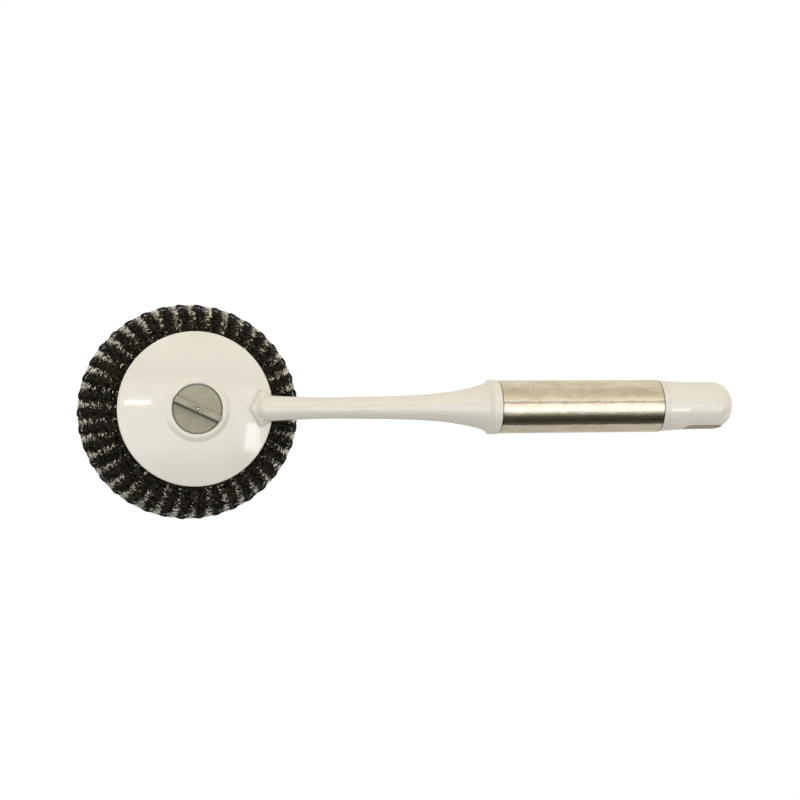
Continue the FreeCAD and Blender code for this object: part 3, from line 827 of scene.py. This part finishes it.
@dataclass
class KnittedRing:
    """Ring of knitted flat wire: each course is one closed wire that waves once for each wale."""

    place: HeadPlace
    wales: int = 38
    outer_radius: float = 43.5 * MM
    band: float = 21.1 * MM
    half_height: float = 20.2 * MM
    level: float = -20.5 * MM
    loop_reach: float = 1.15 * MM
    loop_lean: float = 0.30
    ridge: float = 0.30 * MM
    interlock: float = 0.18 * MM
    squeeze: float = 0.977
    shift: float = -1.27 * MM
    wire_width: float = 0.36 * MM
    wire_thickness: float = 0.16 * MM
    core_depth: float = 2.0 * MM
    core_tangle: float = 0.5 * MM
    recess_radius: float = 22.41 * MM
    recess_level: float = -19.0 * MM
    dimple: float = 4.5 * MM
    hub_radius: float = 13.0 * MM
    core_steps: int = 240
    core_bends: int = 60
    tangle_waves: float = 900.0
    tangle_seed: int = 7
    hand: Hand = Hand()
    runs: list[Courses] = field(default_factory=lambda: [
        Courses("scourer_top", 92.0, 44.0, 26),
        Courses("scourer_shoulder", 42.1, -2.1, 24, seed=11.0),
        Courses("scourer_flank", -4.0, -48.2, 24, seed=23.0),
        Courses("scourer_base", -50.1, -148.0, 34, points=14, seed=37.0),
        Courses("scourer_inside", 88.0, -46.0, 50, depth=1.5 * MM, sides=3, points=12, seed=51.0),
    ])

    def knit(self, run: Courses, tree: bpy.types.NodeTree) -> bpy.types.Object:
        """Knit one run of courses as a plain mesh in its place.

        Args:
            run: The run to knit.
            tree: Node tree that knits it.

        Returns:
            The finished piece.
        """
        holder = bpy.data.objects.new("knitting", bpy.data.meshes.new("knitting"))
        bpy.context.scene.collection.objects.link(holder)
        modifier = holder.modifiers.new("knit", "NODES")
        modifier.node_group = tree
        values = {
            "First angle": math.radians(run.first_angle), "Last angle": math.radians(run.last_angle),
            "Courses": run.count, "Depth": run.depth, "Points": run.points, "Sides": run.sides,
            "Seed": run.seed, "Wire width": self.wire_width, "Wire thickness": self.wire_thickness,
            "Wire": Finish.WIRE.material,
        }
        for item in tree.interface.items_tree:
            if item.item_type == "SOCKET" and item.in_out == "INPUT" and item.name in values:
                modifier[item.identifier] = values[item.name]
        bpy.context.view_layer.update()
        evaluated = holder.evaluated_get(bpy.context.evaluated_depsgraph_get())
        mesh = bpy.data.meshes.new_from_object(evaluated)
        holder.modifiers.remove(modifier)
        bpy.data.objects.remove(holder)
        mesh.transform(self.place_matrix())
        self.press_flat(mesh)
        piece = bpy.data.objects.new(run.name, mesh)
        bpy.context.scene.collection.objects.link(piece)
        return piece

    def core_outline(self) -> list[tuple[float, float]]:
        """Half section of the tangle inside the ring, from the recess floor round the outside to the hub.

        Returns:
            Radius and height of each point.
        """
        band = self.band - self.core_depth
        tall = self.half_height - self.core_depth
        orbit = self.outer_radius - self.band
        top = math.acos((self.recess_radius - orbit) / band)
        hub = -math.pi + math.acos((orbit - self.hub_radius) / band)
        bend = [top + (hub - top) * step / self.core_bends for step in range(self.core_bends + 1)]
        wall = [(self.recess_radius, self.recess_level), (self.recess_radius, self.level)]
        rim = [(orbit + band * math.cos(angle), self.level + tall * math.sin(angle)) for angle in bend]
        low = self.level - self.half_height + self.dimple + self.core_depth
        floor = [(self.recess_radius * share, self.recess_level) for share in (0.3, 0.65)]
        hollow = [(self.hub_radius * share, low) for share in (0.75, 0.5, 0.25)]
        return floor + wall + rim + hollow

    def core(self) -> bpy.types.Object:
        """Tangle of wire that fills the ring behind its knitted skin, as one closed body dark with the wire's
        painted shade.

        Returns:
            The finished piece.
        """
        noise.seed_set(self.tangle_seed)
        outline = self.core_outline()
        tips = [(0.0, 0.0, self.recess_level), (0.0, 0.0, outline[-1][1])]
        spots = []
        for step in range(self.core_steps):
            turn = math.tau * step / self.core_steps
            for radius, height in outline:
                spot = Vector((radius * math.cos(turn), radius * math.sin(turn), height))
                spot += noise.noise_vector(spot * self.tangle_waves) * self.core_tangle
                spots.append(spot)
        count = len(outline)
        faces = []
        for step in range(self.core_steps):
            here, beside = step * count, (step + 1) % self.core_steps * count
            for row in range(count - 1):
                faces.append((here + row, beside + row, beside + row + 1, here + row + 1))
            faces.append((len(spots), beside, here))
            faces.append((len(spots) + 1, here + count - 1, beside + count - 1))
        mesh = bpy.data.meshes.new("scourer_core")
        mesh.from_pydata(spots + tips, [], faces)
        work = bmesh.new()
        work.from_mesh(mesh)
        bmesh.ops.recalc_face_normals(work, faces=work.faces)
        work.to_mesh(mesh)
        work.free()
        # No glint attribute here, so the core takes only the wire's painted shade and blocks light through the
        # gaps.
        mesh.materials.append(Finish.WIRE.material)
        mesh.transform(self.place_matrix())
        self.press_flat(mesh)
        piece = bpy.data.objects.new("scourer_core", mesh)
        bpy.context.scene.collection.objects.link(piece)
        return piece

    def place_matrix(self) -> Matrix:
        """Place of the slightly oval ring in the brush's frame."""
        oval = Matrix.Translation((0.0, self.shift, 0.0)) @ Matrix.Diagonal((1.0, self.squeeze, 1.0, 1.0))
        return self.place.matrix() @ oval

    def press_flat(self, mesh: bpy.types.Mesh) -> None:
        """Press what is too low up to the surface the brush lies on.

        Args:
            mesh: Mesh of the piece, in the brush's frame.
        """
        spots = np.zeros(len(mesh.vertices) * 3)
        mesh.vertices.foreach_get("co", spots)
        spots = spots.reshape(-1, 3)
        lowest = 0.25 * self.wire_width
        kept = 0.05
        below = spots[:, 2] < lowest
        spots[below, 2] = lowest + kept * (spots[below, 2] - lowest)
        spots[:, 2] = np.maximum(spots[:, 2], 0.0)
        mesh.vertices.foreach_set("co", spots.ravel())
        mesh.update()

    def build(self) -> None:
        """Knit every run, fill the ring and let it all ride on the scourer's body."""
        tree = KnittingTree(self, self.hand).tree
        for piece in [self.core()] + [self.knit(run, tree) for run in self.runs]:
            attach(piece, "scourer")
            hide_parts("wire_scourer")
            log.info("%s: %d faces", piece.name, len(piece.data.polygons))


# ---- The studio --------------------------------------------------------------------------------------

@dataclass(frozen=True)
class Lamp:
    """Rectangular lamp that faces the disc, for a clean reflection on its gloss. Its power is in watts."""

    name: str
    place: tuple[float, float, float]
    size: tuple[float, float]
    power: float
    target: tuple[float, float, float] = (-0.08, 0.0, 0.04)
    steep: float = 0.7

    def build(self) -> None:
        """Hang the lamp. The width of a steep one runs along the brush, that of a low one across it."""
        data = bpy.data.lights.new(self.name, "AREA")
        data.shape = "RECTANGLE"
        data.size, data.size_y = self.size
        data.energy = self.power
        lamp = bpy.data.objects.new(self.name, data)
        lamp.location = self.place
        aim = (Vector(self.target) - Vector(self.place)).normalized()
        across = Vector((0.0, 1.0, 0.0))
        wide = across.cross(aim).normalized() if abs(aim.z) > self.steep else across
        tall = (-aim).cross(wide).normalized()
        lamp.rotation_euler = Matrix((tall.cross(-aim), tall, -aim)).transposed().to_euler()
        bpy.context.scene.collection.objects.link(lamp)


@dataclass(frozen=True)
class Table:
    """Plain white table. It lights the brush, and a released scourer still shows below it."""

    size: float = 3.0
    dull: tuple[float, float, float] = (0.29, 0.29, 0.29)
    clear: tuple[float, float, float] = (0.31, 0.31, 0.31)
    glow_tone: tuple[float, float, float, float] = (1.0, 0.93, 0.80, 1.0)
    glow: tuple[float, float] = (0.38, 0.66)
    glow_edge: float = 0.04

    def material(self) -> bpy.types.Material:
        """White surface that glows a little, more on the brush's far side, and lets the camera through.

        Returns:
            The material.
        """
        shader = Shader("white_table")
        shader.set(specular=0.0)
        tree, principled = shader.tree, shader.principled
        principled.inputs["Roughness"].default_value = 1.0
        principled.inputs["Emission Color"].default_value = self.glow_tone
        parts = tree.nodes.new("ShaderNodeSeparateXYZ")
        tree.links.new(shader.place, parts.inputs[0])
        glow = shader.span(Formula(tree, parts.outputs["Y"]), -self.glow_edge, self.glow_edge, *self.glow)
        plug(tree, principled.inputs["Emission Strength"], glow)
        unseen = tree.nodes.new("ShaderNodeBsdfTransparent")
        either = tree.nodes.new("ShaderNodeMixShader")
        tree.links.new(tree.nodes.new("ShaderNodeLightPath").outputs["Is Camera Ray"], either.inputs[0])
        tree.links.new(principled.outputs[0], either.inputs[1])
        tree.links.new(unseen.outputs[0], either.inputs[2])
        tree.links.new(either.outputs[0], shader.output.inputs[0])
        grain = shader.noise(200.0)
        shader.colour(shader.blend(shader.span(grain, 0.3, 0.7, 0.0, 1.0), self.dull, self.clear))
        return shader.material

    def build(self) -> None:
        """Put the table under the brush."""
        mesh = bpy.data.meshes.new("table")
        half = self.size / 2
        corners = [(-half, -half, 0.0), (half, -half, 0.0), (half, half, 0.0), (-half, half, 0.0)]
        mesh.from_pydata(corners, [], [(0, 1, 2, 3)])
        mesh.materials.append(self.material())
        table = bpy.data.objects.new("table", mesh)
        bpy.context.scene.collection.objects.link(table)


@dataclass(frozen=True)
class Sky:
    """Soft light from all round, set by the angle from overhead across the brush, in degrees."""

    brightness: float = 0.66
    background: float = 1.02
    stops: tuple[tuple[float, tuple[float, float, float]], ...] = (
        (-90.0, (0.30, 0.28, 0.24)), (-84.0, (0.18, 0.17, 0.14)), (-66.0, (0.07, 0.067, 0.05)),
        (-46.0, (0.17, 0.165, 0.14)), (-35.0, (0.70, 0.69, 0.64)), (-25.0, (1.9, 1.9, 1.85)),
        (-19.0, (2.9, 2.9, 2.9)), (-3.0, (2.9, 2.9, 2.9)), (0.5, (1.9, 1.88, 1.8)),
        (4.0, (2.5, 2.45, 2.3)), (12.0, (2.4, 2.35, 2.2)), (17.0, (0.95, 0.90, 0.80)),
        (20.0, (0.95, 0.90, 0.80)), (27.0, (2.0, 1.92, 1.75)), (45.0, (1.5, 1.40, 1.18)),
        (65.0, (1.35, 1.24, 1.02)), (90.0, (1.3, 1.19, 0.97)),
    )

    def build(self) -> None:
        """Make the sky, which the camera itself sees as plain white."""
        world = bpy.data.worlds.new("studio")
        bpy.context.scene.world = world
        world.use_nodes = True
        tree = world.node_tree
        tree.nodes.clear()
        coordinates = tree.nodes.new("ShaderNodeTexCoord")
        parts = tree.nodes.new("ShaderNodeSeparateXYZ")
        tree.links.new(coordinates.outputs["Generated"], parts.inputs[0])
        side = Formula(tree, parts.outputs["Y"]).math("ARCTAN2", Formula(tree, parts.outputs["Z"]))
        ramp = tree.nodes.new("ShaderNodeValToRGB")
        plug(tree, ramp.inputs[0], side / math.pi + 0.5)
        elements = ramp.color_ramp.elements
        for position, (degrees, colour) in enumerate(self.stops):
            spot = degrees / 180.0 + 0.5
            stop = elements[position] if position < len(elements) else elements.new(spot)
            stop.position = spot
            stop.color = (*colour, 1.0)
        light = tree.nodes.new("ShaderNodeBackground")
        tree.links.new(ramp.outputs[0], light.inputs[0])
        light.inputs[1].default_value = self.brightness
        white = tree.nodes.new("ShaderNodeBackground")
        white.inputs[0].default_value = (1.0, 1.0, 1.0, 1.0)
        white.inputs[1].default_value = self.background
        either = tree.nodes.new("ShaderNodeMixShader")
        tree.links.new(tree.nodes.new("ShaderNodeLightPath").outputs["Is Camera Ray"], either.inputs[0])
        tree.links.new(light.outputs[0], either.inputs[1])
        tree.links.new(white.outputs[0], either.inputs[2])
        output = tree.nodes.new("ShaderNodeOutputWorld")
        tree.links.new(either.outputs[0], output.inputs[0])


@dataclass(frozen=True)
class Camera:
    """Camera straight above the brush. Its roll is in degrees and its lens in millimetres."""

    place: tuple[float, float, float] = (-0.00421, 0.00298, 0.61438)
    roll: float = -0.32
    lens: float = 66.31
    nearest: float = 0.01

    def build(self) -> None:
        """Set the camera up."""
        data = bpy.data.cameras.new("camera")
        data.lens = self.lens
        data.clip_start = self.nearest
        camera = bpy.data.objects.new("camera", data)
        camera.location = self.place
        camera.rotation_euler = (0.0, 0.0, math.radians(self.roll))
        bpy.context.scene.collection.objects.link(camera)
        bpy.context.scene.camera = camera


@dataclass(frozen=True)
class Studio:
    """White table, soft light from above, two lamps and a camera that looks straight down."""

    table: Table = Table()
    sky: Sky = Sky()
    strip: Lamp = Lamp("strip", (-0.213, 0.056, 1.04), (0.22, 0.035), 0.24)
    fan: Lamp = Lamp("fan", (0.70, -0.25, 0.65), (0.24, 0.13), 0.42)
    camera: Camera = Camera()

    def build(self) -> None:
        """Set the whole studio up."""
        for thing in (self.table, self.sky, self.strip, self.fan, self.camera):
            thing.build()
        bpy.context.scene.view_settings.view_transform = "Standard"
        log.info("studio ready")


# ---- The pieces that keep their shape ----------------------------------------------------------------

@dataclass(frozen=True)
class Wardrobe:
    """Finish of every carried-over node, by sub-assembly."""

    head: dict[str, Finish] = field(default_factory=lambda: {
        "head_disc": Finish.IVORY, "knob_seal": Finish.RUBBER, "wave_washer": Finish.SPRING,
        "claw_carrier": Finish.ACETAL, "bottom_cover": Finish.ACETAL, "cover_screws": Finish.TURNED,
        "turn_knob": Finish.GREY, "spindle": Finish.TURNED, "scroll_cam": Finish.ACETAL,
        "retaining_clip": Finish.SPRING, "claw_1": Finish.STAMPED, "claw_2": Finish.STAMPED,
        "claw_3": Finish.STAMPED, "wire_scourer": Finish.WIRE,
    })
    handle: dict[str, Finish] = field(default_factory=lambda: {
        "front_collar": Finish.IVORY, "steel_sleeve": Finish.SLEEVE, "handle_core": Finish.ACETAL,
        "neck_washer": Finish.TURNED, "neck_screw": Finish.TURNED, "rear_collar": Finish.IVORY,
        "end_cap": Finish.SLOTTED, "cap_seal": Finish.RUBBER,
    })

    def build(self) -> None:
        """Dress the nodes."""
        for node, finish in {**self.head, **self.handle}.items():
            dress(node, finish)


def main() -> None:
    """Build the looks of the brush, sub-assembly by sub-assembly."""
    logging.basicConfig(level=logging.INFO, format="%(name)s %(message)s", force=True)
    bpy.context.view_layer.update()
    Studio().build()
    Wardrobe().build()
    KnittedRing(HeadPlace()).build()


if __name__ == "__main__":
    main()
